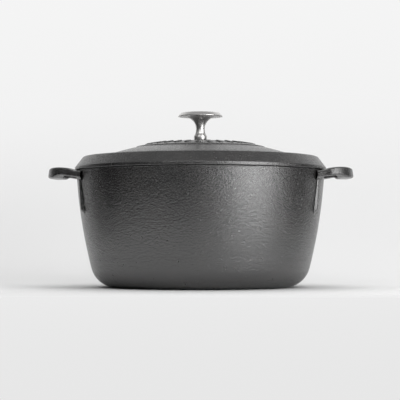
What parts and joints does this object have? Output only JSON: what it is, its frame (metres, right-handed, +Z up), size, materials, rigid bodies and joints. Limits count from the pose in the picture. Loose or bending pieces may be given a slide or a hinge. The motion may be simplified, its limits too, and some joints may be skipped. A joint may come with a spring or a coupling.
{
  "type": "dutch oven",
  "caption": "Round seasoned cast iron dutch oven with loop side handles and a lift-off domed lid that carries a flared stainless steel knob.",
  "frame": {"origin": "centre of the flat base, on the surface that the oven stands on", "axes": "+Z up through the knob, X along the line through both handles, Y across the pot"},
  "size_m": [0.3324, 0.273, 0.1907],
  "materials": {
    "seasoned_iron": "seasoned, pebbled as cast",
    "stainless_steel": "turned and polished",
    "plated_steel": "zinc plated"
  },
  "bodies": {
    "pot_body": {"pot": "seasoned_iron"},
    "lid_body": {"lid": "seasoned_iron", "lid_knob": "stainless_steel", "knob_screw": "plated_steel", "flat_washer": "plated_steel", "spring_washer": "plated_steel"}
  },
  "joints": [
    {"name": "lid_lift", "type": "slide", "parent": "pot_body", "child": "lid_body", "axis": [0, 0, 1], "range_m": [0, 0.22]}
  ]
}
